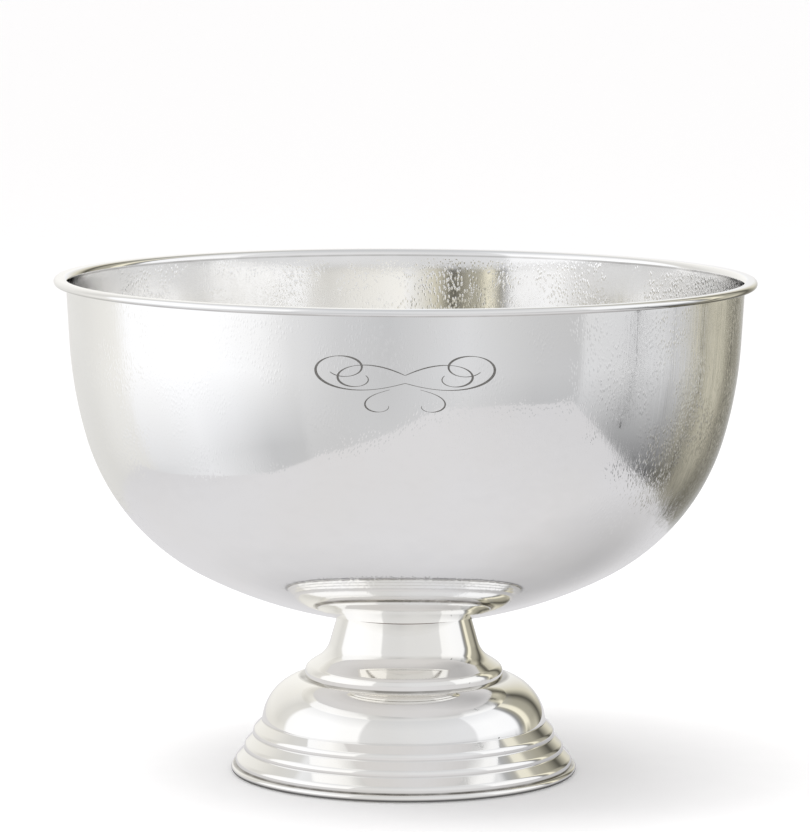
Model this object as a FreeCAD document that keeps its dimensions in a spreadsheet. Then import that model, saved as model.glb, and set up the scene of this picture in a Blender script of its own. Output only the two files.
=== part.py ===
"""Silver-plated pedestal champagne bucket, as a parametric assembly of separate pieces.

The bowl, the neck and the foot are spun sheet metal with their edges rolled over a wire.
A stud brazed under the bowl pulls the neck and the foot up against it, and a felted board
closes the foot.  Millimetres, +Z up, origin at the centre of the face that stands on the table.
"""

import FreeCAD, Part
import math
import os

import Sketcher

SIZES = {
    # spun sheet
    "sheet": (1.2, "thickness of the spun sheet"),
    "bead_radius": (2.4, "outer radius of both rolled edges"),
    "curl_angle": (255, "turn of the sheet round its wire"),
    # bowl
    "overall_height": (313.6, "table to the top of the rim"),
    "rim_radius": (220, "axis to the outside of the rim"),
    "bowl_base_height": (97, "lowest point of the bowl, inside the neck"),
    "underside_radius": (282, "arc of the underside"),
    "underside_angle": (27.6, "turn of that arc"),
    "belly_radius": (139.5, "arc of the belly"),
    "belly_angle": (46.2, "turn of that arc"),
    "shoulder_radius": (271, "arc that brings the wall upright"),
    "shoulder_angle": (13, "turn of that arc"),
    "flange_bend": (2.5, "bend between the wall and the flat rim"),
    # neck and its collar
    "neck_top_radius": (42, "outside of the neck where it meets the bowl"),
    "neck_taper": (74, "slope of the neck below the horizontal"),
    "taper_end_height": (82.1, "where the taper starts to flare"),
    "flare_radius": (18, "hollow arc of the flare"),
    "collar_slope": (33, "slope of the collar's top below the horizontal"),
    "collar_radius": (62.6, "outside of the collar"),
    "collar_round": (6, "rounded edge of the collar"),
    "collar_seat_height": (60.7, "lower edge of the collar, on the foot"),
    # foot
    "foot_radius": (109.3, "axis to the outside of the foot's rolled edge"),
    "foot_clearance": (0.2, "rolled edge above the table"),
    "foot_top_height": (61.2, "flat top of the foot, under the collar"),
    "foot_hole_radius": (20, "hole in that flat top"),
    "dome_radius": (31.2, "arc of the dome"),
    "dome_angle": (85, "turn of that arc"),
    "ring_step": (5.6, "each ring stands this far out from the one above"),
    "ring_pitch": (9, "height of each ring"),
    "ring_slope": (45, "slope of a ring's upper face below the horizontal"),
    "ring_round": (4, "rounded shoulder of a ring"),
    "crease_radius": (1.2, "hollow crease above a ring"),
    "edge_bend": (0.6, "crease between the last ring and the rolled edge"),
    "edge_bend_angle": (86, "turn of that crease"),
    # fixing
    "gasket_thickness": (0.4, "fibre gasket between neck and bowl"),
    "gasket_inner_radius": (36.6, "hole of the gasket"),
    "gasket_width": (5, "radial width of the gasket"),
    "boss_radius": (28, "disc brazed under the bowl"),
    "boss_base_height": (91, "lower face of that disc"),
    "braze_gap": (0.1, "film of braze"),
    "stud_radius": (4, "M8 stud"),
    "stud_length": (58, "whole stud"),
    "stud_embedded": (6, "length of the stud inside the boss"),
    "stud_chamfer": (0.8, "lead at the stud's lower end"),
    "plate_radius": (46, "clamp plate under the foot's flat top"),
    "plate_thickness": (3, "clamp plate"),
    "bolt_hole_radius": (4.5, "clearance hole for the stud"),
    "washer_radius": (12, "plain washer"),
    "washer_thickness": (1.6, "plain washer"),
    "spring_radius": (7.2, "split spring washer"),
    "spring_hole_radius": (4.2, "hole of the split spring washer"),
    "spring_thickness": (2, "split spring washer"),
    "spring_gap": (1.6, "split of the spring washer"),
    "nut_width": (13, "across the nut's flats"),
    "nut_height": (6.5, "hexagon nut"),
    "nut_chamfer": (30, "slope of the nut's chamfer"),
    # closing of the foot
    "board_radius": (103.8, "board inside the rolled edge"),
    "board_thickness": (2.5, "board"),
    "felt_radius": (103, "felt under the board"),
    "felt_thickness": (1, "felt"),
}

RINGS = 3
FULL_TURN = 360


def underside_height(radius):
    """Height of the bowl's underside at a radius."""
    return f"bowl_base_height + underside_radius - sqrt(underside_radius^2 - ({radius})^2)"


def underside_slope(radius):
    """Slope of the bowl's underside at a radius, in degrees above the horizontal."""
    return f"asin(({radius}) / underside_radius) / 1 deg"


NECK_TOP = f"{underside_height('neck_top_radius')} - gasket_thickness"
STUD_TOP = "boss_base_height + stud_embedded"
STUD_FOOT = f"{STUD_TOP} - stud_length"
PLATE_BASE = "foot_top_height - sheet - plate_thickness"
WASHER_BASE = f"{PLATE_BASE} - washer_thickness"
SPRING_BASE = f"{WASHER_BASE} - spring_thickness"
NUT_BASE = f"{SPRING_BASE} - nut_height"

doc = FreeCAD.newDocument("champagne_bucket")
sheet = doc.addObject("Spreadsheet::Sheet", "Sizes")
for row, (alias, (value, meaning)) in enumerate(SIZES.items(), start=1):
    sheet.set(f"A{row}", alias)
    sheet.set(f"B{row}", str(value))
    sheet.set(f"C{row}", meaning)
    sheet.setAlias(f"B{row}", alias)
doc.recompute()


def sizes(expression):
    """An expression in aliases, with each alias written as a cell of the sheet."""
    words = []
    word = ""
    for letter in expression + " ":
        if letter.isalnum() or letter == "_":
            word += letter
            continue
        words.append(f"Sizes.{word}" if word in SIZES else word)
        words.append(letter)
        word = ""
    return "".join(words).strip()


def number(expression):
    """The value of an expression in aliases."""
    return float(sheet.evalExpression(sizes(expression)))


def bind(sketch, kind, *where, size, angle=False):
    """A dimension of a sketch, driven by an expression in aliases."""
    value = number(size)
    place = sketch.addConstraint(
        Sketcher.Constraint(kind, *where, math.radians(value) if angle else value)
    )
    expression = f"({sizes(size)}) * 1 deg" if angle else sizes(size)
    sketch.setExpression(f"Constraints[{place}]", expression)


def new_sketch(body, name, plane):
    """A sketch on a plane of the body's own origin."""
    sketch = body.newObject("Sketcher::SketchObject", name)
    support = next(item for item in body.Origin.OriginFeatures if item.Role == plane)
    sketch.AttachmentSupport = [(support, "")]
    sketch.MapMode = "FlatFace"
    doc.recompute()
    return sketch


def new_body(label, plane):
    """A body with one sketch."""
    body = doc.addObject("PartDesign::Body", label)
    body.Label = label
    return body, new_sketch(body, f"{label}_sketch", plane)


def revolve(body, sketch):
    """The sketch turned a full circle round the Z axis."""
    turned = body.newObject("PartDesign::Revolution", f"{body.Label}_revolution")
    turned.Profile = sketch
    turned.ReferenceAxis = (sketch, ["V_Axis"])
    turned.Angle = FULL_TURN
    sketch.Visibility = False
    return body


class Face:
    """One face of a sheet in section: a chain of tangent lines and arcs."""

    def __init__(self, sketch, point, heading, offset):
        self.sketch = sketch
        self.point = point
        self.heading = heading
        self.offset = offset
        self.first = None
        self.last = None

    def join(self, geometry, start, end):
        index = self.sketch.addGeometry(geometry)
        if self.last is None:
            self.first = (index, start)
        else:
            tangent = Sketcher.Constraint("Tangent", *self.last, index, start)
            self.sketch.addConstraint(tangent)
        self.last = (index, end)
        return index

    def line(self, length):
        step = FreeCAD.Vector(math.cos(self.heading), math.sin(self.heading), 0)
        end = self.point + step * length
        index = self.join(Part.LineSegment(self.point, end), 1, 2)
        self.point = end
        return index

    def arc(self, radius, turn):
        """An arc of the visible face's radius; turn is in degrees, positive to the left."""
        side = math.copysign(1, turn)
        size = f"{radius} - ({self.offset}) * {side:.0f}"
        reach = number(size)
        left = FreeCAD.Vector(-math.sin(self.heading), math.cos(self.heading), 0)
        centre = self.point + left * (side * reach)
        begin = self.heading - side * math.pi / 2
        finish = begin + math.radians(turn)
        circle = Part.Circle(centre, FreeCAD.Vector(0, 0, 1), reach)
        low, high = sorted((begin, finish))
        start, end = (1, 2) if side > 0 else (2, 1)
        index = self.join(Part.ArcOfCircle(circle, low, high), start, end)
        bind(self.sketch, "Radius", index, size=size)
        self.heading += math.radians(turn)
        spoke = FreeCAD.Vector(math.cos(finish), math.sin(finish), 0)
        self.point = centre + spoke * reach
        return index


class SheetSection:
    """The section of a spun sheet: its visible face, and its hidden face beside it.

    side is 1 where the hidden face lies to the left of the way the section is drawn, else -1.
    """

    def __init__(self, sketch, radius, height, slope, side, thickness="sheet"):
        self.sketch = sketch
        self.radius = radius
        self.height = height
        self.slope = slope
        self.thickness = thickness
        heading = -math.radians(number(slope))
        start = FreeCAD.Vector(number(radius), number(height), 0)
        across = FreeCAD.Vector(-math.sin(heading), math.cos(heading), 0)
        gap = side * number(thickness)
        self.visible = Face(sketch, start, heading, "0")
        self.hidden = Face(sketch, start + across * gap, heading, f"{thickness} * {side}")
        self.begun = False

    def begin(self, is_arc):
        """Place the start of both faces, which a short line across the sheet joins."""
        self.begun = True
        index, end = self.visible.first
        if number(self.radius):
            bind(self.sketch, "DistanceX", -1, 1, index, end, size=self.radius)
        else:
            self.sketch.addConstraint(Sketcher.Constraint("PointOnObject", index, end, -2))
        bind(self.sketch, "DistanceY", -1, 1, index, end, size=self.height)
        if is_arc:
            self.sketch.addConstraint(Sketcher.Constraint("Vertical", index, end, index, 3))
        elif number(self.slope):
            bind(self.sketch, "Angle", index, size=f"-({self.slope})", angle=True)
        else:
            self.sketch.addConstraint(Sketcher.Constraint("Horizontal", index))

    def close_start(self, visible_start, hidden_start):
        edge = self.sketch.addGeometry(Part.LineSegment(visible_start, hidden_start))
        for end, first in ((1, self.visible.first), (2, self.hidden.first)):
            square = Sketcher.Constraint("Perpendicular", edge, end, *first)
            self.sketch.addConstraint(square)
        bind(self.sketch, "Distance", edge, size=self.thickness)

    def both(self, is_arc, draw):
        """Draw one step on both faces, and place the start after the first step."""
        starts = (self.visible.point, self.hidden.point)
        pair = [draw(self.visible), draw(self.hidden)]
        if not self.begun:
            self.begin(is_arc)
            self.close_start(*starts)
        return pair

    def arc(self, radius, turn, left):
        """A bend: radius of the visible face, turn in degrees, to the left or to the right."""
        degrees = number(turn) if left else -number(turn)
        for index in self.both(True, lambda face: face.arc(radius, degrees)):
            bind(self.sketch, "Angle", index, size=turn, angle=True)

    def line(self, length, kind, size):
        visible, hidden = self.both(False, lambda face: face.line(length))
        where = (visible,) if kind == "Distance" else (-1, 1, visible, 2)
        bind(self.sketch, kind, *where, size=size)
        self.sketch.addConstraint(Sketcher.Constraint("Equal", visible, hidden))

    def line_of(self, size):
        """A straight stretch of this length."""
        self.line(number(size), "Distance", size)

    def line_to_radius(self, size):
        """A straight stretch that ends this far from the axis."""
        face = self.visible
        length = (number(size) - face.point.x) / math.cos(face.heading)
        self.line(length, "DistanceX", size)

    def line_to_height(self, size):
        """A straight stretch that ends at this height."""
        face = self.visible
        length = (number(size) - face.point.y) / math.sin(face.heading)
        self.line(length, "DistanceY", size)

    def close(self):
        """Join the far ends of both faces."""
        ends = (self.visible, self.hidden)
        edge = self.sketch.addGeometry(Part.LineSegment(ends[0].point, ends[1].point))
        for end, face in enumerate(ends, start=1):
            self.sketch.addConstraint(Sketcher.Constraint("Coincident", edge, end, *face.last))


def spun_bowl():
    body, sketch = new_body("bowl", "XZ_Plane")
    section = SheetSection(sketch, "0", "bowl_base_height", slope="0", side=1)
    wall_angle = "underside_angle + belly_angle + shoulder_angle"
    flange_height = "overall_height - sheet"
    section.arc("underside_radius", "underside_angle", left=True)
    section.arc("belly_radius", "belly_angle", left=True)
    section.arc("shoulder_radius", "shoulder_angle", left=True)
    section.line_to_height(f"{flange_height} - flange_bend * (1 - cos(({wall_angle}) * 1 deg))")
    section.arc("flange_bend", wall_angle, left=False)
    section.line_to_radius("rim_radius - bead_radius")
    section.arc("bead_radius - sheet", "curl_angle", left=False)
    section.close()
    return revolve(body, sketch)


def spun_neck():
    body, sketch = new_body("stem_neck", "XZ_Plane")
    section = SheetSection(sketch, "neck_top_radius", NECK_TOP, slope="neck_taper", side=-1)
    section.line_to_height("taper_end_height")
    section.arc("flare_radius", "neck_taper - collar_slope", left=True)
    section.line_to_radius("collar_radius - collar_round * (1 - sin(collar_slope * 1 deg))")
    section.arc("collar_round", "90 - collar_slope", left=False)
    section.line_to_height("collar_seat_height")
    section.close()
    return revolve(body, sketch)


def spun_foot():
    """A flat top, a dome, rings that step outwards and a rolled edge."""
    body, sketch = new_body("foot_dome", "XZ_Plane")
    last_ring = (
        "foot_radius - bead_radius - edge_bend"
        " + (edge_bend + bead_radius) * cos(edge_bend_angle * 1 deg)"
    )
    last_ring_foot = (
        "foot_clearance + bead_radius + (edge_bend + bead_radius) * sin(edge_bend_angle * 1 deg)"
    )
    dome_end = f"{last_ring} - {RINGS} * ring_step"
    section = SheetSection(sketch, "foot_hole_radius", "foot_top_height", slope="0", side=-1)
    section.line_to_radius(f"{dome_end} - dome_radius * sin(dome_angle * 1 deg)")
    section.arc("dome_radius", "dome_angle", left=False)
    slope_above = "dome_angle"
    for below in reversed(range(RINGS)):
        ring_radius = f"{last_ring} - {below} * ring_step"
        section.arc("crease_radius", f"{slope_above} - ring_slope", left=True)
        section.line_to_radius(f"{ring_radius} - ring_round * (1 - sin(ring_slope * 1 deg))")
        section.arc("ring_round", "90 - ring_slope", left=False)
        section.line_to_height(f"{last_ring_foot} + {below} * ring_pitch")
        slope_above = "90"
    section.arc("edge_bend", "edge_bend_angle", left=True)
    section.arc("bead_radius", "curl_angle", left=False)
    section.close()
    return revolve(body, sketch)


def gasket():
    body, sketch = new_body("seat_gasket", "XZ_Plane")
    section = SheetSection(
        sketch, "gasket_inner_radius", underside_height("gasket_inner_radius"),
        slope=f"-({underside_slope('gasket_inner_radius + gasket_width / 2')})",
        side=-1, thickness="gasket_thickness",
    )
    section.line_of("gasket_width")
    section.close()
    return revolve(body, sketch)


def wire(label, ring_radius, height):
    """The wire inside a rolled edge."""
    ring = doc.addObject("Part::Torus", label)
    ring.Label = label
    ring.setExpression("Radius1", sizes(ring_radius))
    ring.setExpression("Radius2", sizes("bead_radius - sheet"))
    ring.setExpression("Placement.Base.z", sizes(height))
    return ring


def disc(label, radius, thickness, height, hole=None):
    """A flat disc, with a round hole in the middle where one is given."""
    body, sketch = new_body(label, "XY_Plane")
    for size in filter(None, (radius, hole)):
        circle = Part.Circle(FreeCAD.Vector(), FreeCAD.Vector(0, 0, 1), number(size))
        index = sketch.addGeometry(circle)
        sketch.addConstraint(Sketcher.Constraint("Coincident", index, 3, -1, 1))
        bind(sketch, "Radius", index, size=size)
    pad = body.newObject("PartDesign::Pad", f"{label}_pad")
    pad.Profile = sketch
    pad.setExpression("Length", sizes(thickness))
    body.setExpression("Placement.Base.z", sizes(height))
    return body


def brazed_boss():
    """A disc whose top is hollowed to the bowl's underside, with a blind hole for the stud."""
    blank = doc.addObject("Part::Cylinder", "boss_blank")
    blank.setExpression("Radius", sizes("boss_radius"))
    blank.setExpression("Height", sizes("bowl_base_height - boss_base_height + boss_radius"))
    blank.setExpression("Placement.Base.z", sizes("boss_base_height"))
    underside = doc.addObject("Part::Sphere", "boss_underside")
    underside.setExpression("Radius", sizes("underside_radius + braze_gap"))
    underside.setExpression("Placement.Base.z", sizes("bowl_base_height + underside_radius"))
    seated = doc.addObject("Part::Cut", "boss_seated")
    seated.Base = blank
    seated.Tool = underside
    socket = doc.addObject("Part::Cylinder", "boss_socket")
    socket.setExpression("Radius", sizes("stud_radius"))
    socket.setExpression("Height", sizes("stud_embedded"))
    socket.setExpression("Placement.Base.z", sizes("boss_base_height"))
    boss = doc.addObject("Part::Cut", "stud_boss")
    boss.Label = "stud_boss"
    boss.Base = seated
    boss.Tool = socket
    return boss


def stud():
    """A rod with a chamfered lower end, drawn as half of its section."""
    body, sketch = new_body("threaded_stud", "XZ_Plane")
    lead = f"{STUD_FOOT} + stud_chamfer"
    corners = [
        ("0", STUD_TOP),
        ("stud_radius", STUD_TOP),
        ("stud_radius", lead),
        ("stud_radius - stud_chamfer", STUD_FOOT),
        ("0", STUD_FOOT),
    ]
    polygon(sketch, corners)
    return revolve(body, sketch)


def polygon(sketch, corners):
    """A closed outline with every corner placed by a radius and a height."""
    points = [FreeCAD.Vector(number(x), number(y), 0) for x, y in corners]
    first = sketch.GeometryCount
    count = len(points)
    for index in range(count):
        sketch.addGeometry(Part.LineSegment(points[index], points[(index + 1) % count]))
    for index, (x, y) in enumerate(corners):
        line = first + index
        before = first + (index - 1) % count
        sketch.addConstraint(Sketcher.Constraint("Coincident", before, 2, line, 1))
        if number(x):
            bind(sketch, "DistanceX", -1, 1, line, 1, size=x)
        else:
            sketch.addConstraint(Sketcher.Constraint("PointOnObject", line, 1, -2))
        bind(sketch, "DistanceY", -1, 1, line, 1, size=y)


def spring_washer():
    body = disc("spring_washer", "spring_radius", "spring_thickness", SPRING_BASE,
                hole="spring_hole_radius")
    sketch = new_sketch(body, "spring_washer_split", "XY_Plane")
    corners = [
        ("spring_hole_radius / 2", "-spring_gap / 2"),
        ("spring_radius * 2", "-spring_gap / 2"),
        ("spring_radius * 2", "spring_gap / 2"),
        ("spring_hole_radius / 2", "spring_gap / 2"),
    ]
    polygon(sketch, corners)
    split = body.newObject("PartDesign::Pocket", "spring_washer_pocket")
    split.Profile = sketch
    split.Type = "ThroughAll"
    split.Reversed = True
    body.Tip = split
    return body


def nut():
    """A hexagon pad with a bore, and both ends chamfered by a groove."""
    body, sketch = new_body("hex_nut", "XY_Plane")
    corner_radius = "nut_width / (2 * cos(30 deg))"
    sides = 6
    reach = number(corner_radius)
    axis = FreeCAD.Vector(0, 0, 1)
    around = sketch.addGeometry(Part.Circle(FreeCAD.Vector(), axis, reach), True)
    bore = sketch.addGeometry(Part.Circle(FreeCAD.Vector(), axis, number("stud_radius")))
    for circle, size in ((around, corner_radius), (bore, "stud_radius")):
        sketch.addConstraint(Sketcher.Constraint("Coincident", circle, 3, -1, 1))
        bind(sketch, "Radius", circle, size=size)
    spokes = [math.radians(FULL_TURN / sides * index) for index in range(sides)]
    corners = [FreeCAD.Vector(math.cos(a), math.sin(a), 0) * reach for a in spokes]
    lines = [
        sketch.addGeometry(Part.LineSegment(corners[index], corners[(index + 1) % sides]))
        for index in range(sides)
    ]
    for before, line in zip([lines[-1]] + lines[:-1], lines):
        sketch.addConstraint(Sketcher.Constraint("Coincident", before, 2, line, 1))
        sketch.addConstraint(Sketcher.Constraint("PointOnObject", line, 1, around))
    for line in lines[1:]:
        sketch.addConstraint(Sketcher.Constraint("Equal", lines[0], line))
    sketch.addConstraint(Sketcher.Constraint("PointOnObject", lines[0], 1, -1))
    pad = body.newObject("PartDesign::Pad", "hex_nut_pad")
    pad.Profile = sketch
    pad.setExpression("Length", sizes("nut_height"))
    doc.recompute()

    chamfers = new_sketch(body, "hex_nut_chamfers", "XZ_Plane")
    inner = "nut_width * 0.475"
    drop = f"(nut_width - {inner}) * tan(nut_chamfer * 1 deg)"
    for end, inwards in (("0", "+"), ("nut_height", "-")):
        outer_corner = ("nut_width", f"{end} {inwards} {drop}")
        polygon(chamfers, [(inner, end), ("nut_width", end), outer_corner])
    groove = body.newObject("PartDesign::Groove", "hex_nut_groove")
    groove.Profile = chamfers
    groove.ReferenceAxis = (chamfers, ["V_Axis"])
    groove.Angle = FULL_TURN
    body.Tip = groove
    body.setExpression("Placement.Base.z", sizes(NUT_BASE))
    return body


pieces = [
    spun_bowl(),
    wire("rim_wire", "rim_radius - bead_radius", "overall_height - bead_radius"),
    gasket(),
    brazed_boss(),
    stud(),
    spun_neck(),
    spun_foot(),
    wire("foot_wire", "foot_radius - bead_radius", "foot_clearance + bead_radius"),
    disc("clamp_plate", "plate_radius", "plate_thickness", PLATE_BASE, hole="bolt_hole_radius"),
    disc("plain_washer", "washer_radius", "washer_thickness", WASHER_BASE, hole="bolt_hole_radius"),
    spring_washer(),
    nut(),
    disc("base_board", "board_radius", "board_thickness", "felt_thickness"),
    disc("base_felt", "felt_radius", "felt_thickness", "0"),
]
doc.recompute()

for item in doc.Objects:
    if {"Invalid", "Error"} & set(item.State):
        raise RuntimeError(f"{item.Label} failed: {item.State}")
    if item.TypeId == "Sketcher::SketchObject" and not item.FullyConstrained:
        raise RuntimeError(f"{item.Label} isn't fully constrained")

os.makedirs("parts", exist_ok=True)
for piece in pieces:
    if piece.Shape.isNull() or not piece.Shape.isValid() or len(piece.Shape.Solids) != 1:
        raise RuntimeError(f"{piece.Label} isn't one valid solid")
for piece in pieces:
    piece.Shape.exportStep(f"parts/{piece.Label}.step")
    box = piece.Shape.BoundBox
    volume = piece.Shape.Volume / 1000
    print(f"{piece.Label:14} z {box.ZMin:7.2f} to {box.ZMax:7.2f}  {volume:8.2f} cm3")
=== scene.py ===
import math

import bpy
import numpy as np
from mathutils import Matrix, Vector


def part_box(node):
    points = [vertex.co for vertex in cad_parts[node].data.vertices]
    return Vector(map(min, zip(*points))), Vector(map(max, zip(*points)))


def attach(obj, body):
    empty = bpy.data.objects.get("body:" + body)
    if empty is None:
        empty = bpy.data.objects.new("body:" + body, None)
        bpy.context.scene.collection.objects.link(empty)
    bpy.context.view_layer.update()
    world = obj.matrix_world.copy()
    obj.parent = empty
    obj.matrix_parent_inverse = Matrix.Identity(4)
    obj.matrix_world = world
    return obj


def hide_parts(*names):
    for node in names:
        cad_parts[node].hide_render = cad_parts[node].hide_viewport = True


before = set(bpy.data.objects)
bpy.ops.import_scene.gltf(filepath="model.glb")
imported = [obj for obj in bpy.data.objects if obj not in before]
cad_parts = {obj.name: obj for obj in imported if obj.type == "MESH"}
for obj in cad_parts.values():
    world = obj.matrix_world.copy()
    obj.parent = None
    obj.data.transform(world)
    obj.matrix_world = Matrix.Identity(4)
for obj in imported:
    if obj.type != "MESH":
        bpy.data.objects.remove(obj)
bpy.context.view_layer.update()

MM = 0.001
BODY = "root"

# ---------------------------------------------------------------- sizes of the spun sheet
SHEET = 1.2 * MM
BEAD_RADIUS = 2.4 * MM
CURL_TURN = 255

# The bowl's section: radius and turn of each arc, from the middle of the base up to the rim
BOWL_ARCS = ((282 * MM, 27.6), (139.5 * MM, 46.2), (271 * MM, 13))
FLANGE_BEND = 2.5 * MM

NECK_TOP_RADIUS = 42 * MM
NECK_TAPER = 74
TAPER_END_HEIGHT = 82.1 * MM
FLARE_RADIUS = 18 * MM
COLLAR_SLOPE = 33
COLLAR_ROUND = 6 * MM

FOOT_HOLE_RADIUS = 20 * MM
DOME_RADIUS = 31.2 * MM
DOME_TURN = 85
RINGS = 3
RING_STEP = 5.6 * MM
RING_PITCH = 9 * MM
RING_SLOPE = 45
RING_ROUND = 4 * MM
CREASE_RADIUS = 1.2 * MM
EDGE_BEND = 0.6 * MM
EDGE_BEND_TURN = 86

bowl_low, bowl_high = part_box("bowl")
neck_low, neck_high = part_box("stem_neck")
foot_low, foot_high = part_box("foot_dome")
RIM_RADIUS = bowl_high.x
COLLAR_RADIUS = neck_high.x
FOOT_RADIUS = foot_high.x

# Where the lowest ring of the foot turns out into the bead
EDGE_ANGLE = math.radians(EDGE_BEND_TURN)
EDGE_SPAN = EDGE_BEND + BEAD_RADIUS
LAST_RING_RADIUS = FOOT_RADIUS - BEAD_RADIUS - EDGE_BEND + EDGE_SPAN * math.cos(EDGE_ANGLE)
LAST_RING_HEIGHT = foot_low.z + BEAD_RADIUS + EDGE_SPAN * math.sin(EDGE_ANGLE)


# ---------------------------------------------------------------- lathe work
POINT_SPACING = 2.8 * MM
CLOSE_SPACING = 1 * MM
MOST_TURN_PER_POINT = 9
ON_AXIS = 1e-9


class Profile:
    """The visible face of a spun sheet in section, as points and outward normals in (radius, height)."""

    def __init__(self, radius, height, slope, outside):
        self.point = np.array([radius, height], float)
        self.heading = math.radians(slope)
        self.outside = outside  # 1 where the visible side is on the right of the way it is drawn, else -1
        self.points = []
        self.normals = []
        self.add(self.point, self.heading)

    def add(self, point, heading):
        self.points.append(np.array(point))
        self.normals.append(self.outside * np.array([math.sin(heading), -math.cos(heading)]))

    def arc(self, radius, turn, step=POINT_SPACING):
        """Follow an arc; the turn is in degrees, positive to the left."""
        side = math.copysign(1, turn)
        by_angle = math.ceil(abs(turn) / MOST_TURN_PER_POINT)
        by_length = math.ceil(radius * math.radians(abs(turn)) / step)
        count = max(by_angle, by_length)
        left = np.array([-math.sin(self.heading), math.cos(self.heading)])
        centre = self.point + left * side * radius
        start = self.heading - side * math.pi / 2
        for index in range(1, count + 1):
            angle = start + math.radians(turn) * index / count
            self.point = centre + radius * np.array([math.cos(angle), math.sin(angle)])
            self.add(self.point, angle + side * math.pi / 2)
        self.heading += math.radians(turn)

    def line(self, length, step=POINT_SPACING):
        count = max(1, math.ceil(length / step))
        ahead = np.array([math.cos(self.heading), math.sin(self.heading)])
        start = self.point
        for index in range(1, count + 1):
            self.point = start + ahead * length * index / count
            self.add(self.point, self.heading)

    def line_to_radius(self, radius):
        self.line((radius - self.point[0]) / math.cos(self.heading))

    def line_to_height(self, height):
        self.line((height - self.point[1]) / math.sin(self.heading))


def bowl_profile():
    wall_turn = sum(turn for _, turn in BOWL_ARCS)
    flange_rise = FLANGE_BEND * (1 - math.cos(math.radians(wall_turn)))
    profile = Profile(0, bowl_low.z, 0, outside=1)
    for radius, turn in BOWL_ARCS:
        profile.arc(radius, turn)
    profile.line_to_height(bowl_high.z - SHEET - flange_rise)
    profile.arc(FLANGE_BEND, -wall_turn)
    profile.line_to_radius(RIM_RADIUS - BEAD_RADIUS)
    profile.arc(BEAD_RADIUS - SHEET, -CURL_TURN)
    return profile


def neck_profile():
    collar_start = COLLAR_RADIUS - COLLAR_ROUND * (1 - math.sin(math.radians(COLLAR_SLOPE)))
    profile = Profile(NECK_TOP_RADIUS, neck_high.z, -NECK_TAPER, outside=-1)
    profile.line_to_height(TAPER_END_HEIGHT)
    profile.arc(FLARE_RADIUS, NECK_TAPER - COLLAR_SLOPE, step=CLOSE_SPACING)
    profile.line_to_radius(collar_start)
    profile.arc(COLLAR_ROUND, COLLAR_SLOPE - 90)
    profile.line_to_height(neck_low.z)
    return profile


def foot_profile():
    ring_shoulder = RING_ROUND * (1 - math.sin(math.radians(RING_SLOPE)))
    dome_end = LAST_RING_RADIUS - RINGS * RING_STEP
    profile = Profile(FOOT_HOLE_RADIUS, foot_high.z, 0, outside=-1)
    profile.line_to_radius(dome_end - DOME_RADIUS * math.sin(math.radians(DOME_TURN)))
    profile.arc(DOME_RADIUS, -DOME_TURN, step=CLOSE_SPACING)
    slope = DOME_TURN
    for below in reversed(range(RINGS)):
        profile.arc(CREASE_RADIUS, slope - RING_SLOPE)
        profile.line_to_radius(LAST_RING_RADIUS - below * RING_STEP - ring_shoulder)
        profile.arc(RING_ROUND, RING_SLOPE - 90)
        profile.line_to_height(LAST_RING_HEIGHT + below * RING_PITCH)
        slope = 90
    profile.arc(EDGE_BEND, EDGE_BEND_TURN)
    profile.arc(BEAD_RADIUS, -CURL_TURN)
    return profile


def new_piece(name, mesh):
    piece = bpy.data.objects.new(name, mesh)
    bpy.context.scene.collection.objects.link(piece)
    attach(piece, BODY)
    return piece


def spin(name, profile, segments):
    """Turn the sheet round the Z axis into one closed shell that shades by its exact normals."""
    visible = np.array(profile.points)
    normals = np.array(profile.normals)
    outline = np.concatenate([visible, (visible - SHEET * normals)[::-1]])
    outline_normals = np.concatenate([normals, -normals[::-1]])
    count = len(outline)
    caps = (len(visible) - 1, count - 1)

    vertices = []
    number = {}
    for turn in range(segments):
        angle = 2 * math.pi * turn / segments
        for index, (radius, height) in enumerate(outline):
            if radius < ON_AXIS and turn > 0:
                number[turn, index] = number[0, index]
                continue
            number[turn, index] = len(vertices)
            vertices.append((radius * math.cos(angle), radius * math.sin(angle), height))

    faces = []
    corner_normals = []
    for turn in range(segments):
        after_turn = (turn + 1) % segments
        for index in range(count):
            after = (index + 1) % count
            corners = [(after_turn, index), (after_turn, after), (turn, after), (turn, index)]
            if profile.outside < 0:
                corners.reverse()
            around = []
            for corner in corners:
                if number[corner] not in [number[kept] for kept in around]:
                    around.append(corner)
            if len(around) < 3:
                continue
            faces.append([number[corner] for corner in around])
            for at, point in around:
                normal = outline_normals[point]
                if index in caps:
                    along = outline[after] - outline[index]
                    normal = profile.outside * np.array([along[1], -along[0]]) / np.linalg.norm(along)
                angle = 2 * math.pi * at / segments
                corner_normals.append((normal[0] * math.cos(angle), normal[0] * math.sin(angle), normal[1]))

    mesh = bpy.data.meshes.new(name)
    mesh.from_pydata(vertices, [], faces)
    mesh.shade_smooth()
    mesh.normals_split_custom_set(corner_normals)
    return new_piece(name, mesh)


# ---------------------------------------------------------------- engraved flourish
FLOURISH_HEIGHT = 272 * MM
FLOURISH_STRETCH = (1.55, 0.82)
FLOURISH_PROUD = 0.03 * MM
FLOURISH_DEPTH = 0.3 * MM
# Each stroke lies this much above the one before, so that no two faces share a place where they cross
STROKE_LIFT = 0.01 * MM
# The wall that may be engraved ends this far below the rim
WALL_BELOW_RIM = 8 * MM

# The pen: the slant of its nib, its thinnest line as a share of its widest, and how sharply it swells
PEN_SLANT = -15
PEN_THINNEST = 0.2
PEN_SWELL = 0.6
PEN_CONTRAST = 1.5

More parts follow.
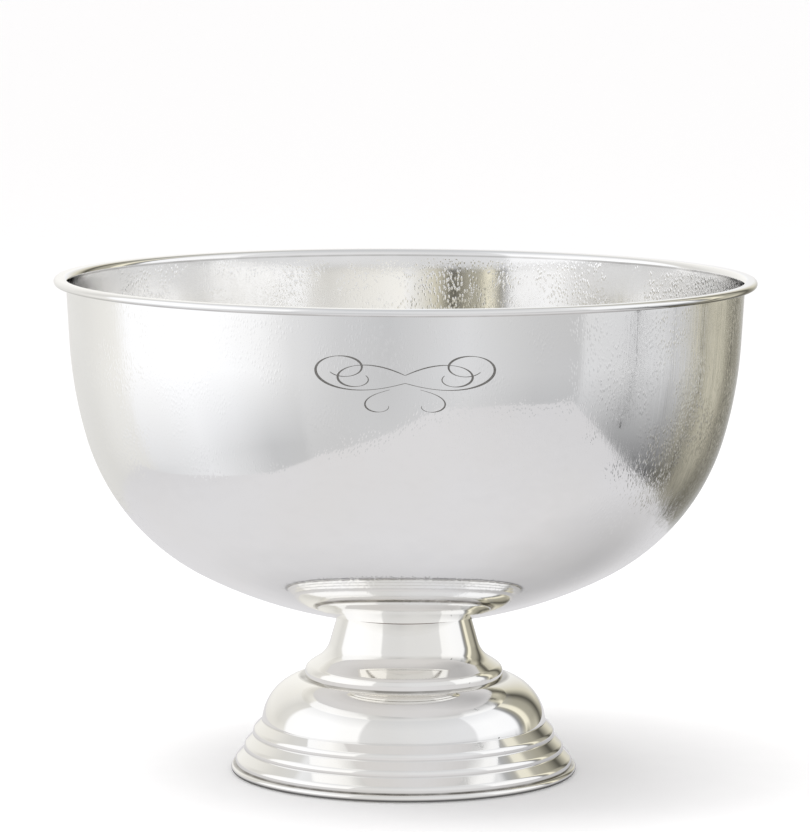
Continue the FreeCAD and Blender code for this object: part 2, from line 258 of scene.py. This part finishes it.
# Each stroke: start, heading in degrees, length, bend at its start and end in degrees per mm, widest
FLOURISH_STROKES = (
    ((0, -2.4), -28, 88, 0.6, 9.6, 1.6),
    ((0, 2.2), 40, 54, -0.4, -12.5, 1.4),
    ((9, -6.3), -28, 30, 0, -17, 1.0),
)


def stroke_outline(start, heading, length, bend_start, bend_end, widest, step=0.5):
    """Both edges of one pen stroke on the flat, in millimetres.

    The stroke is widest where it crosses the pen's slant, and tapers at both ends.
    """
    count = math.ceil(length / step)
    point = np.array(start, float)
    angle = math.radians(heading)
    left = []
    right = []
    for index in range(count + 1):
        along = index / count
        swell = math.sin(math.pi * along) ** PEN_SWELL
        slant = abs(math.sin(angle - math.radians(PEN_SLANT))) ** PEN_CONTRAST
        width = widest * (PEN_THINNEST + (1 - PEN_THINNEST) * swell * slant)
        across = np.array([-math.sin(angle), math.cos(angle)]) * width / 2
        left.append(point + across)
        right.append(point - across)
        angle += math.radians(bend_start + (bend_end - bend_start) * along) * step
        point = point + step * np.array([math.cos(angle), math.sin(angle)]) * FLOURISH_STRETCH
    return left, right


def on_bowl(point, lift, heights, radii, side):
    """A point of the flat drawing laid on the bowl's front, lifted off its face."""
    height = FLOURISH_HEIGHT + point[1] * MM
    radius = np.interp(height, heights, radii)
    angle = side * point[0] * MM / radius
    return ((radius + lift) * math.sin(angle), -(radius + lift) * math.cos(angle), height)


def engrave(name, profile):
    """The flourish as thin solids let into the wall; each stroke is drawn twice, mirrored."""
    wall = [point for point in profile.points if point[1] < bowl_high.z - WALL_BELOW_RIM]
    radii = [point[0] for point in wall]
    heights = [point[1] for point in wall]
    vertices = []
    faces = []
    for layer, stroke in enumerate(FLOURISH_STROKES):
        left, right = stroke_outline(*stroke)
        lift = FLOURISH_PROUD + layer * STROKE_LIFT
        for side in (1, -1):
            first = len(vertices)
            for a, b in zip(left, right):
                vertices.append(on_bowl(a, lift, heights, radii, side))
                vertices.append(on_bowl(b, lift, heights, radii, side))
                vertices.append(on_bowl(b, -FLOURISH_DEPTH, heights, radii, side))
                vertices.append(on_bowl(a, -FLOURISH_DEPTH, heights, radii, side))
            last = len(vertices) - 4
            stroke_faces = [(first, first + 1, first + 2, first + 3)]
            for row in range(first, last, 4):
                for edge in range(4):
                    after = (edge + 1) % 4
                    stroke_faces.append((row + after, row + edge, row + 4 + edge, row + 4 + after))
            stroke_faces.append((last + 3, last + 2, last + 1, last))
            if side < 0:
                stroke_faces = [face[::-1] for face in stroke_faces]
            faces.extend(stroke_faces)
    mesh = bpy.data.meshes.new(name)
    mesh.from_pydata(vertices, [], faces)
    return new_piece(name, mesh)


# ---------------------------------------------------------------- shader helpers
def new_material(name):
    material = bpy.data.materials.new(name)
    material.use_nodes = True
    return material, material.node_tree, material.node_tree.nodes["Principled BSDF"]


def node(tree, kind, inputs=None, **settings):
    """Add a shader node; an input is a value or another node's socket."""
    made = tree.nodes.new(kind)
    for key, value in settings.items():
        setattr(made, key, value)
    for key, value in (inputs or {}).items():
        if isinstance(value, bpy.types.NodeSocket):
            tree.links.new(value, made.inputs[key])
        else:
            made.inputs[key].default_value = value
    return made


def calculate(tree, operation, first, second=0.0):
    return node(tree, "ShaderNodeMath", {0: first, 1: second}, operation=operation).outputs[0]


def remap(tree, value, low, high, to_low=0.0, to_high=1.0):
    inputs = {"Value": value, "From Min": low, "From Max": high, "To Min": to_low, "To Max": to_high}
    return node(tree, "ShaderNodeMapRange", inputs).outputs["Result"]


def noise(tree, vector, scale, detail=3.0, roughness=0.5):
    inputs = {"Vector": vector, "Scale": scale, "Detail": detail, "Roughness": roughness}
    return node(tree, "ShaderNodeTexNoise", inputs).outputs["Fac"]


def multiply(tree, first, *others):
    for other in others:
        first = calculate(tree, "MULTIPLY", first, other)
    return first


def spread(tree, value, to_low=0.0, to_high=1.0):
    """Stretch a noise, whose values lie mostly between 0.3 and 0.7, over a range."""
    return remap(tree, value, 0.3, 0.7, to_low, to_high)


def blend_colours(tree, factor, first, second):
    made = node(tree, "ShaderNodeMix", {"Factor": factor}, data_type="RGBA")
    # Inputs 6 and 7 and output 2 are the ones for colour
    for socket, colour in ((made.inputs[6], first), (made.inputs[7], second)):
        if isinstance(colour, bpy.types.NodeSocket):
            tree.links.new(colour, socket)
        else:
            socket.default_value = (*colour, 1)
    return made.outputs[2]


def bump(tree, height, distance, below=None):
    inputs = {"Height": height, "Strength": 1, "Distance": distance}
    if below is not None:
        inputs["Normal"] = below
    return node(tree, "ShaderNodeBump", inputs).outputs["Normal"]


def lathe_coordinates(tree):
    """The place on the object, its direction from the axis, and its height."""
    place = node(tree, "ShaderNodeTexCoord").outputs["Object"]
    split = node(tree, "ShaderNodeSeparateXYZ", {0: place})
    flat = node(tree, "ShaderNodeCombineXYZ", {0: split.outputs[0], 1: split.outputs[1]})
    outwards = node(tree, "ShaderNodeVectorMath", {0: flat.outputs[0]}, operation="NORMALIZE")
    return place, outwards.outputs[0], split.outputs[2]


def stretched(tree, outwards, height, round_scale, up_scale):
    """Coordinates that stretch a texture round the object or up it, with no seam."""
    sides = node(tree, "ShaderNodeSeparateXYZ", {0: outwards})
    inputs = {
        0: calculate(tree, "MULTIPLY", sides.outputs[0], round_scale),
        1: calculate(tree, "MULTIPLY", sides.outputs[1], round_scale),
        2: calculate(tree, "MULTIPLY", height, up_scale),
    }
    return node(tree, "ShaderNodeCombineXYZ", inputs).outputs[0]


# ---------------------------------------------------------------- silver
SILVER_BRIGHT = (0.95, 0.95, 0.948)
SILVER_WARM = (0.938, 0.93, 0.912)
SILVER_YELLOWED = (0.935, 0.915, 0.865)
# Tarnish colour, which also serves as painted shade in the creases
TARNISH_AND_CREASE_SHADE = (0.10, 0.085, 0.065)
CREASE_CORE = 0.25 * MM
CREASE_REACH = 0.8 * MM
SPINNING_SWELL = 0.12 * MM
LATHE_LINE_DEPTH = 0.0008 * MM

# Dew: the heights between which the ice chills the wall, the depth of drops and runs, and its haze
DEW_STARTS = 100 * MM
DEW_FULL = 180 * MM
RIM_DRY_FROM = 8 * MM
RIM_DRY = 5 * MM
DROP_DEPTH = 0.13 * MM
RUN_DEPTH = 0.02 * MM
DEW_HAZE = 0.07


class Silver:
    """Polished plate: cloudy polish, faint lines from the lathe, and creases darkened partly by tarnish and
    partly by painted shade.

    Each crease is its height and how dark it is.
    """

    def __init__(self, name, warmest, roughness, creases):
        self.material, tree, self.shader = new_material(name)
        self.tree = tree
        self.place, self.outwards, self.height = lathe_coordinates(tree)
        clouds = noise(tree, self.place, 11)
        self.shader.inputs["Metallic"].default_value = 1

        colour = blend_colours(tree, spread(tree, clouds), warmest, SILVER_BRIGHT)
        # Painted shade: each crease is darkened with the tarnish colour, partly as tarnish and partly as
        # the shade that falls in it
        for crease_height, darkness in creases:
            away = calculate(tree, "ABSOLUTE", calculate(tree, "SUBTRACT", self.height, crease_height))
            depth = remap(tree, away, CREASE_CORE, CREASE_REACH, darkness, 0)
            patches = remap(tree, noise(tree, self.place, 60), 0.3, 0.6, 0.65, 1)
            colour = blend_colours(tree, multiply(tree, depth, patches), colour, TARNISH_AND_CREASE_SHADE)
        tree.links.new(colour, self.shader.inputs["Base Color"])

        lathe_lines = noise(tree, stretched(tree, self.outwards, self.height, 2, 1800), 1, detail=2)
        fine_wear = noise(tree, self.place, 420)
        self.rough = spread(tree, clouds, roughness * 1.25, roughness * 0.8)
        self.roughen(spread(tree, lathe_lines, 0, roughness * 0.35))
        self.roughen(remap(tree, fine_wear, 0.4, 0.7, 0, roughness * 0.3))
        swell = bump(tree, noise(tree, self.place, 9, detail=1), SPINNING_SWELL)
        self.normal = bump(tree, lathe_lines, LATHE_LINE_DEPTH, swell)

    def roughen(self, amount):
        self.rough = calculate(self.tree, "ADD", self.rough, amount)

    def add_dew(self):
        """What ice inside does to the wall: a fine haze, drops, and runs, heaviest at the two sides."""
        tree = self.tree
        sideways = node(tree, "ShaderNodeSeparateXYZ", {0: self.outwards}).outputs[0]
        right_side = remap(tree, sideways, 0.45, 0.88)
        left_side = remap(tree, sideways, -0.55, -0.95, 0, 0.6)
        wet_side = calculate(tree, "ADD", right_side, left_side)
        dry_rim = remap(tree, self.height, bowl_high.z - RIM_DRY_FROM, bowl_high.z - RIM_DRY, 1, 0)
        chilled = multiply(tree, remap(tree, self.height, DEW_STARTS, DEW_FULL), dry_rim)

        run_place = stretched(tree, self.outwards, self.height, 170, 10)
        runs = remap(tree, noise(tree, run_place, 1, detail=4, roughness=0.7), 0.44, 0.56)
        cleared = multiply(tree, runs, remap(tree, wet_side, 0, 1, 0.25, 0.95))
        left_by_runs = calculate(tree, "SUBTRACT", 1, cleared)
        patches = remap(tree, noise(tree, self.place, 7, detail=5), 0.36, 0.62, 0.4, 1)
        thicker_at_sides = remap(tree, wet_side, 0, 0.5, 0.35, 1)
        haze = multiply(tree, chilled, patches, thicker_at_sides, left_by_runs)
        self.roughen(remap(tree, haze, 0, 1, 0, DEW_HAZE))

        drop_place = stretched(tree, self.outwards, self.height, 200, 420)
        cells = node(tree, "ShaderNodeTexVoronoi", {"Vector": drop_place, "Scale": 0.75})
        crown = remap(tree, cells.outputs["Distance"], 0.1, 0.45, 1, 0)
        drop_cover = remap(tree, noise(tree, self.place, 24, detail=6, roughness=0.6), 0.44, 0.56)
        more_at_sides = remap(tree, wet_side, 0, 1, 0.35, 1)
        drops = multiply(tree, crown, drop_cover, chilled, more_at_sides)

        self.normal = bump(tree, multiply(tree, runs, wet_side, chilled), RUN_DEPTH, self.normal)
        self.normal = bump(tree, drops, DROP_DEPTH, self.normal)

    def finished(self):
        self.tree.links.new(self.rough, self.shader.inputs["Roughness"])
        self.tree.links.new(self.normal, self.shader.inputs["Normal"])
        return self.material


def plain_silver(name, roughness, creases):
    return Silver(name, SILVER_YELLOWED, roughness, creases).finished()


def dewy_silver(name, roughness, creases):
    silver = Silver(name, SILVER_WARM, roughness, creases)
    silver.add_dew()
    return silver.finished()


def cut_silver_painted_shade(name):
    """The bottom of an engraved stroke: finely cut, so it scatters the light, and painted dark grey for the
    shade inside the groove.
    """
    material, tree, shader = new_material(name)
    place = node(tree, "ShaderNodeTexCoord").outputs["Object"]
    grain = noise(tree, place, 1500)
    # Painted shade: these dark greys stand in for the shade inside a cut groove, since the strokes stand
    # just proud of the wall
    colour = blend_colours(tree, spread(tree, grain), (0.17, 0.165, 0.155), (0.32, 0.31, 0.295))
    tree.links.new(colour, shader.inputs["Base Color"])
    tree.links.new(spread(tree, grain, 0.4, 0.6), shader.inputs["Roughness"])
    tree.links.new(bump(tree, grain, 0.03 * MM), shader.inputs["Normal"])
    shader.inputs["Metallic"].default_value = 1
    return material


# ---------------------------------------------------------------- hidden fittings
def grained(name, light, dark, roughness, scale, depth, metallic=0.0, stretch=(1, 1, 1)):
    """A plain material with its own grain in colour, roughness and height."""
    material, tree, shader = new_material(name)
    place = node(tree, "ShaderNodeTexCoord").outputs["Object"]
    along = node(tree, "ShaderNodeMapping", {"Vector": place, "Scale": stretch}).outputs[0]
    grain = noise(tree, along, scale, detail=5)
    patches = noise(tree, place, 25)
    mixed = calculate(tree, "ADD", multiply(tree, grain, 0.6), multiply(tree, patches, 0.4))
    colour = blend_colours(tree, remap(tree, mixed, 0.35, 0.65), dark, light)
    tree.links.new(colour, shader.inputs["Base Color"])
    tree.links.new(spread(tree, mixed, roughness * 0.8, roughness * 1.2), shader.inputs["Roughness"])
    tree.links.new(bump(tree, grain, depth), shader.inputs["Normal"])
    shader.inputs["Metallic"].default_value = metallic
    return material


def paint(piece, material):
    piece.data.materials.clear()
    piece.data.materials.append(material)


# ---------------------------------------------------------------- the bucket
BOWL_SEGMENTS = 256
PEDESTAL_SEGMENTS = 192
BOWL_ROUGHNESS = 0.029
PEDESTAL_ROUGHNESS = 0.026

bowl_section = bowl_profile()
bowl = spin("bowl_shell", bowl_section, BOWL_SEGMENTS)
neck = spin("neck_shell", neck_profile(), PEDESTAL_SEGMENTS)
foot = spin("foot_shell", foot_profile(), PEDESTAL_SEGMENTS)
for piece, node_name in ((bowl, "bowl"), (neck, "stem_neck"), (foot, "foot_dome")):
    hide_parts(node_name)
flourish = engrave("engraved_flourish", bowl_section)

# How dark each crease is: partly tarnish, partly painted shade, darkest above the foot's bead, under the
# collar and at the neck's foot
ring_creases = [(LAST_RING_HEIGHT + rise * RING_PITCH, 0.16) for rise in range(1, RINGS + 1)]
bead_crease = (LAST_RING_HEIGHT - 0.4 * MM, 0.85)
collar_crease = (foot_high.z - 0.45 * MM, 0.75)
neck_crease = (neck_low.z, 0.5)
rim_crease = (bowl_high.z - BEAD_RADIUS - 1.8 * MM, 0.35)
foot_creases = [collar_crease, *ring_creases, bead_crease]
paint(bowl, dewy_silver("bowl_silver", BOWL_ROUGHNESS, [rim_crease]))
paint(neck, plain_silver("neck_silver", PEDESTAL_ROUGHNESS, [neck_crease]))
paint(foot, plain_silver("foot_silver", PEDESTAL_ROUGHNESS, foot_creases))
paint(flourish, cut_silver_painted_shade("cut_silver_painted_shade"))

brass = grained("brass", (0.72, 0.55, 0.27), (0.5, 0.36, 0.16), 0.34, 400, 0.01 * MM, metallic=1)
steel = grained("turned_steel", (0.62, 0.62, 0.6), (0.45, 0.45, 0.44), 0.34, 500, 0.01 * MM, metallic=1)
spring_steel = grained("spring_steel", (0.3, 0.3, 0.3), (0.14, 0.14, 0.15), 0.4, 500, 0.01 * MM, metallic=1)
fibre = grained("fibre", (0.2, 0.07, 0.045), (0.11, 0.035, 0.025), 0.75, 900, 0.05 * MM)
board = grained("board", (0.34, 0.22, 0.12), (0.2, 0.12, 0.06), 0.8, 260, 0.06 * MM, stretch=(1, 6, 6))
felt = grained("felt", (0.03, 0.075, 0.05), (0.012, 0.03, 0.02), 0.95, 1400, 0.15 * MM)
FITTINGS = {
    "rim_wire": brass,
    "foot_wire": brass,
    "stud_boss": brass,
    "seat_gasket": fibre,
    "threaded_stud": steel,
    "clamp_plate": steel,
    "plain_washer": steel,
    "hex_nut": steel,
    "spring_washer": spring_steel,
    "base_board": board,
    "base_felt": felt,
}
for node_name, material in FITTINGS.items():
    paint(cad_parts[node_name], material)

# ---------------------------------------------------------------- camera
# In metres and degrees, fitted to the outlines of the rim, the neck's joint and the foot
CAMERA_DISTANCE = 2.811
CAMERA_HEIGHT = 0.560
CAMERA_PITCH = 6.786
CAMERA_ROLL = 0.25
CAMERA_LENS = 194.75

camera_data = bpy.data.cameras.new("camera")
camera_data.lens = CAMERA_LENS
camera = bpy.data.objects.new("camera", camera_data)
camera.location = (0, -CAMERA_DISTANCE, CAMERA_HEIGHT)
level_aim = Matrix.Rotation(math.radians(90 - CAMERA_PITCH), 3, "X")
camera.rotation_euler = (level_aim @ Matrix.Rotation(math.radians(CAMERA_ROLL), 3, "Z")).to_euler()
bpy.context.scene.collection.objects.link(camera)
bpy.context.scene.camera = camera

# ---------------------------------------------------------------- studio
SILVER_REFLECTS = 0.93

# What stands round the table: azimuth in degrees from the camera's side, then its display tone, where
# 1 is white, below the table's level, at its level and above it. A ColorRamp takes at most 32 rows.
# These tones aren't designed. They began as tones of the photographed bowl, worked back along the
# mirrored rays by a scratch program, and were corrected by hand. report.md has this as an open failure.
ROOM = (
    (-180, 0.82, 0.85, 0.97),
    (-140, 0.82, 0.86, 0.90),
    (-125, 0.85, 0.91, 0.84),
    (-114, 0.84, 0.93, 0.86),
    (-110, 0.84, 1.00, 1.00),
    (-80, 0.90, 1.02, 1.02),
    (-62, 0.84, 1.00, 1.01),
    (-50, 0.77, 0.97, 1.00),
    (-38, 0.77, 0.88, 1.00),
    (-35, 0.80, 0.87, 0.87),
    (-22, 0.79, 0.81, 0.86),
    (-6, 0.80, 0.77, 0.86),
    (6, 0.80, 0.81, 0.87),
    (20, 0.80, 0.855, 0.87),
    (45, 0.69, 0.79, 0.875),
    (61, 0.70, 0.77, 0.88),
    (63, 0.70, 0.86, 0.98),
    (80, 0.52, 0.83, 0.99),
    (101, 0.44, 0.83, 0.98),
    (103, 0.36, 0.66, 0.98),
    (106, 0.34, 0.78, 0.97),
    (110, 0.33, 0.79, 0.55),
    (116, 0.34, 0.77, 0.60),
    (118, 0.34, 0.76, 0.93),
    (120, 0.34, 0.30, 0.93),
    (122, 0.36, 0.32, 0.93),
    (124, 0.44, 0.60, 0.90),
    (127, 0.50, 0.74, 0.66),
    (137, 0.54, 0.80, 0.62),
    (147, 0.28, 0.38, 0.30),
    (158, 0.50, 0.50, 0.80),
    (180, 0.82, 0.85, 0.97),
)
BELOW_LEVEL = -30
TABLE_LEVEL = -11
ABOVE_LEVEL = 6

CEILING_FROM = 30
CEILING_TO = 75
CEILING = (0.62, 0.63, 0.65)
BACKDROP = (1, 0.99, 0.99, 1)
BACKDROP_STRENGTH = 1.1

# The room is olive on the far right, warm behind on the left, and cool elsewhere
FAR_SIDE = 112
OLIVE_TINT = (1.03, 0.98, 0.80)
WARM_TINT = (1.01, 1, 0.97)
COOL_TINT = (0.985, 0.99, 1.01)


def display_to_light(tone):
    """The light a mirrored surface gives off so that the silver shows it in this display tone (sRGB)."""
    if tone <= 0.04:
        return tone / 12.92 / SILVER_REFLECTS
    return ((tone + 0.055) / 1.055) ** 2.4 / SILVER_REFLECTS


def ramp(tree, factor, stops):
    made = node(tree, "ShaderNodeValToRGB", {"Fac": factor})
    elements = made.color_ramp.elements
    while len(elements) < len(stops):
        elements.new(0.5)
    # The ramp sorts its stops by position, so all positions are set before any colour
    for element, (position, _) in zip(elements, stops):
        element.position = position
    for element, (_, colour) in zip(elements, stops):
        element.color = (*colour, 1)
    return made.outputs["Color"]


def room_colour(azimuth, tone):
    tint = COOL_TINT
    if FAR_SIDE < azimuth < 180:
        tint = OLIVE_TINT
    elif azimuth < -FAR_SIDE:
        tint = WARM_TINT
    light = display_to_light(tone)
    return tuple(light * channel for channel in tint)


def add_world():
    """Mirrors see the painted room; everything else is lit and backed by an even white."""
    world = bpy.data.worlds.new("studio")
    bpy.context.scene.world = world
    world.use_nodes = True
    tree = world.node_tree
    tree.nodes.clear()
    direction = node(tree, "ShaderNodeTexCoord").outputs["Generated"]
    split = node(tree, "ShaderNodeSeparateXYZ", {0: direction})
    towards_camera = multiply(tree, split.outputs[1], -1)
    turn = calculate(tree, "ARCTAN2", split.outputs[0], towards_camera)
    share = remap(tree, turn, -math.pi, math.pi)
    bands = []
    for tones in (1, 2, 3):
        stops = [((row[0] + 180) / 360, room_colour(row[0], row[tones])) for row in ROOM]
        bands.append(ramp(tree, share, stops))
    below, level, above = bands
    rise = calculate(tree, "ARCSINE", split.outputs[2])
    lower = remap(tree, rise, math.radians(BELOW_LEVEL), math.radians(TABLE_LEVEL))
    upper = remap(tree, rise, math.radians(TABLE_LEVEL), math.radians(ABOVE_LEVEL))
    ceiling = remap(tree, rise, math.radians(CEILING_FROM), math.radians(CEILING_TO))
    colour = blend_colours(tree, upper, blend_colours(tree, lower, below, level), above)
    colour = blend_colours(tree, ceiling, colour, CEILING)
    room = node(tree, "ShaderNodeBackground", {"Color": colour, "Strength": 1})
    backdrop = node(tree, "ShaderNodeBackground", {"Color": BACKDROP, "Strength": BACKDROP_STRENGTH})
    in_mirror = node(tree, "ShaderNodeLightPath").outputs["Is Glossy Ray"]
    choices = {0: in_mirror, 1: backdrop.outputs[0], 2: room.outputs[0]}
    either = node(tree, "ShaderNodeMixShader", choices)
    out = node(tree, "ShaderNodeOutputWorld")
    tree.links.new(either.outputs[0], out.inputs["Surface"])


def paper(name, dark, light):
    """A matt sheet that mottles gently between two greys."""
    material, tree, shader = new_material(name)
    place = node(tree, "ShaderNodeTexCoord").outputs["Object"]
    colour = blend_colours(tree, noise(tree, place, 40), (dark, dark, dark), (light, light, light))
    tree.links.new(colour, shader.inputs["Base Color"])
    shader.inputs["Roughness"].default_value = 0.9
    shader.inputs["Specular IOR Level"].default_value = 0.1
    return material


def stage_sheet(name, corners, material):
    mesh = bpy.data.meshes.new(name)
    mesh.from_pydata(corners, [], [range(len(corners))])
    piece = bpy.data.objects.new(name, mesh)
    piece.data.materials.append(material)
    bpy.context.scene.collection.objects.link(piece)
    return piece


def only_in_reflections(piece):
    piece.visible_camera = False
    piece.visible_diffuse = False
    piece.visible_shadow = False


FLOOR_REACH = 20
TABLE_LIFT = 0.5 * MM
# The edge of the pale table that the silver mirrors, seen from above, given from its mirrored line in
# the photograph. The table's tones and its two painted shadows below were set against the photograph's
# tones.
TABLE_EDGE = ((-0.30, 1.2), (-0.32, 0.46), (-0.55, 0.12), (-0.43, -0.16), (-0.23, -0.49), (0.15, -0.85),
              (0.45, -0.78), (0.76, -0.57), (0.46, -0.02), (0.34, 0.18), (0.27, 0.56), (0.25, 1.2))
TABLE_TONE = 0.852
# Where the table begins to darken on each side, and how much of its light is left at TABLE_SIDE
TABLE_SIDE = 0.5
RIGHT_SIDE_FROM = 0.1
RIGHT_SIDE_TONE = 0.93
LEFT_SIDE_FROM = 0.3
LEFT_SIDE_TONE = 0.94
# Distance from the middle of the foot, and how much of the light is left there in its shadow
FOOT_SHADOW = ((0.109, 0.15), (0.1105, 0.3), (0.1125, 0.86), (0.15, 0.94), (0.22, 1))
FOOT_SHADOW_REACH = 0.3
# The bowl's own soft shadow, which falls to the right of the foot
BOWL_SHADOW_CENTRE = (0.2, 0.03, 0)
BOWL_SHADOW_CORE = 0.02
BOWL_SHADOW_REACH = 0.22
BOWL_SHADOW_DEPTH = 0.7


def table_top():
    """The table as the silver mirrors it, a glowing sheet with its light and shade painted in: even, a
    little darker to the sides and in the painted shadows.
    """
    material = bpy.data.materials.new("table_painted_glow")
    material.use_nodes = True
    tree = material.node_tree
    tree.nodes.clear()
    place = node(tree, "ShaderNodeTexCoord").outputs["Object"]
    sideways = node(tree, "ShaderNodeSeparateXYZ", {0: place}).outputs[0]
    right = remap(tree, sideways, RIGHT_SIDE_FROM, TABLE_SIDE, 1, RIGHT_SIDE_TONE)
    left = remap(tree, sideways, -TABLE_SIDE, -LEFT_SIDE_FROM, LEFT_SIDE_TONE, 1)
    paper_grain = spread(tree, noise(tree, place, 30), 0.985, 1.015)

    from_foot = node(tree, "ShaderNodeVectorMath", {0: place}, operation="LENGTH").outputs["Value"]
    share = remap(tree, from_foot, 0, FOOT_SHADOW_REACH)
    stops = [(radius / FOOT_SHADOW_REACH, (light, light, light)) for radius, light in FOOT_SHADOW]
    foot_shadow = ramp(tree, share, stops)
    centre = {0: place, 1: BOWL_SHADOW_CENTRE}
    away = node(tree, "ShaderNodeVectorMath", centre, operation="DISTANCE").outputs["Value"]
    bowl_shadow = remap(tree, away, BOWL_SHADOW_CORE, BOWL_SHADOW_REACH, BOWL_SHADOW_DEPTH, 1)

    tone = multiply(tree, left, right, paper_grain, bowl_shadow, foot_shadow)
    light = display_to_light(TABLE_TONE)
    colour = blend_colours(tree, tone, (0, 0, 0), (light, light * 0.99, light * 1.01))
    # Painted light: the sheet glows with the table's lit tone, darker to the sides and in its painted
    # shadows, instead of being lit by the lamp
    glow = node(tree, "ShaderNodeEmission", {"Color": colour, "Strength": 1})
    out = node(tree, "ShaderNodeOutputMaterial")
    tree.links.new(glow.outputs[0], out.inputs["Surface"])
    material.cycles.emission_sampling = "NONE"
    sheet = stage_sheet("table_top", [(x, y, TABLE_LIFT) for x, y in TABLE_EDGE], material)
    only_in_reflections(sheet)


def add_stage():
    reach = FLOOR_REACH
    corners = [(-reach, -reach, 0), (reach, -reach, 0), (reach, reach, 0), (-reach, reach, 0)]
    floor = stage_sheet("floor", corners, paper("floor_paper", 0.9, 0.92))
    floor.visible_glossy = False
    table_top()


STAND_DISTANCE = 2.4
# The stand's corners: azimuth in degrees from the camera's side, and height
STAND_CORNERS = ((78.8, -0.72), (80.0, -0.72), (82.0, -0.02), (80.8, -0.02))


def add_stand():
    """A thin dark light stand beyond the table, which shows only as a line in the silver."""
    corners = []
    for azimuth, height in STAND_CORNERS:
        angle = math.radians(azimuth)
        corners.append((STAND_DISTANCE * math.sin(angle), -STAND_DISTANCE * math.cos(angle), height))
    stand = stage_sheet("light_stand", corners, paper("stand_paint", 0.06, 0.08))
    only_in_reflections(stand)


KEY_PLACE = (-0.4, -0.1, 2.0)
KEY_SIZE = (1.2, 2.4)
KEY_POWER = 26
AIM_HEIGHT = 0.1


def add_light(name, location, size, power):
    """A soft rectangular light above, which the silver doesn't mirror."""
    data = bpy.data.lights.new(name, "AREA")
    data.shape = "RECTANGLE"
    data.size, data.size_y = size
    data.energy = power
    lamp = bpy.data.objects.new(name, data)
    lamp.location = location
    aim = Vector((0, 0, AIM_HEIGHT)) - Vector(location)
    lamp.rotation_euler = aim.to_track_quat("-Z", "Y").to_euler()
    lamp.visible_glossy = False
    bpy.context.scene.collection.objects.link(lamp)


add_world()
add_stage()
add_stand()
add_light("key", KEY_PLACE, KEY_SIZE, KEY_POWER)
bpy.context.scene.view_settings.view_transform = "Standard"
